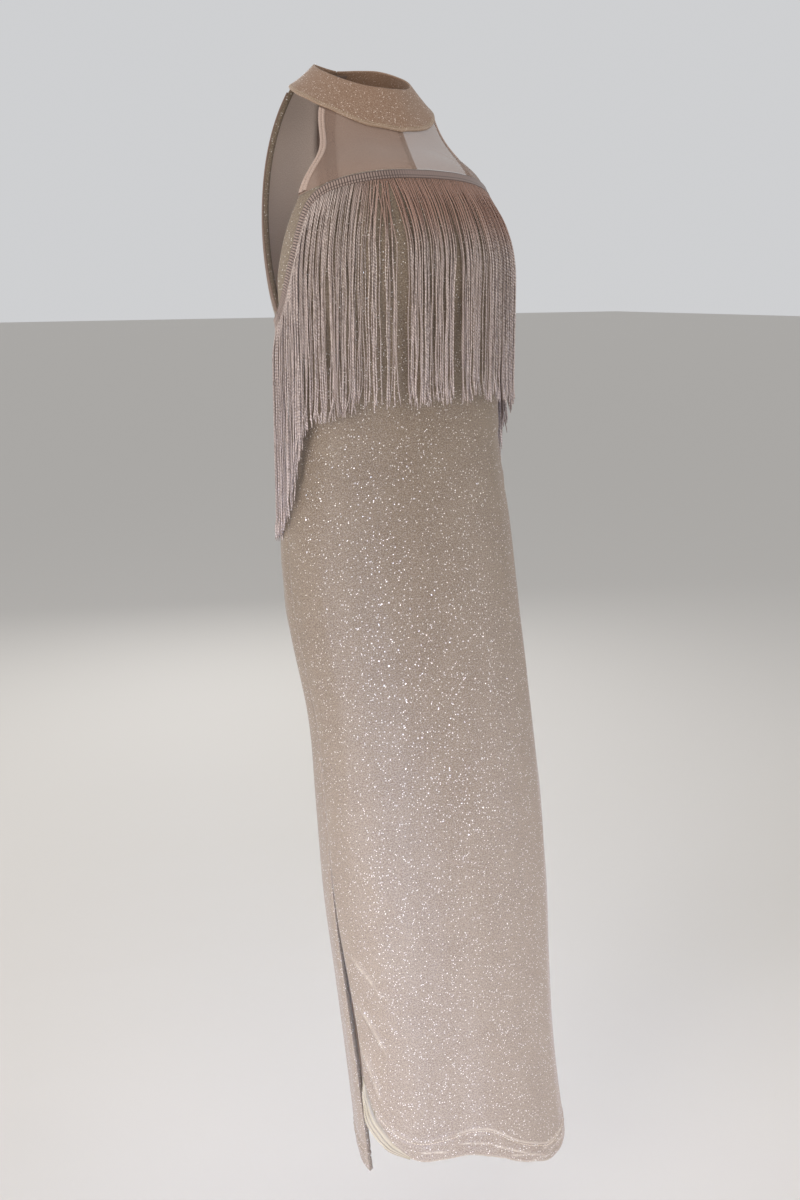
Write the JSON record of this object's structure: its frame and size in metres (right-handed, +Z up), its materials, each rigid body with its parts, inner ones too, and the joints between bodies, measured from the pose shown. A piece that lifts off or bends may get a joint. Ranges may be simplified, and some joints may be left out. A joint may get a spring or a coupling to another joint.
{
  "type": "maxi dress",
  "caption": "Sleeveless halter maxi dress in glitter knit, hollow and worn in form, with a flared stand collar, a sheer front yoke, long fringe at the bust and a side slit.",
  "frame": {"origin": "The middle of the neck, at the collar, where the neck holds the dress.", "axes": "+Z up along the neck, -Y out of the front, +X to the wearer's left"},
  "size_m": [0.3396, 0.3627, 1.3667],
  "materials": {
    "glitter_knit": "stretch knit with metallic glitter thread, pale rose-brown, fine sparkle",
    "sheer_mesh": "sheer nude stretch mesh",
    "binding": "narrow folded knit binding, plain and matt",
    "chainette_fringe": "fine twisted rayon chainette, soft sheen, on a ribbed header tape",
    "zip_tape": "woven zip tape and coil, dark brown",
    "zip_metal": "cast zip slider and pull, pale plated finish"
  },
  "bodies": {
    "dress": {"front_panel": "glitter_knit", "back_panel_right": "glitter_knit", "back_panel_left": "glitter_knit", "collar": "glitter_knit", "yoke_front": "sheer_mesh", "yoke_binding_right": "binding", "yoke_binding_left": "binding", "back_binding_right": "binding", "back_binding_left": "binding", "fringe_front": "chainette_fringe", "fringe_back_right": "chainette_fringe", "fringe_back_left": "chainette_fringe", "zip_tape_right": "zip_tape", "zip_tape_left": "zip_tape", "zip_chain": "zip_tape", "zip_slider": "zip_metal"},
    "pull": {"zip_pull": "zip_metal"}
  },
  "joints": [
    {"name": "pull_hinge", "type": "hinge", "parent": "dress", "child": "pull", "pos_m": [0, 0.06429, 0.02048], "axis": [1, 0, 0], "range_deg": [0, 160]}
  ]
}
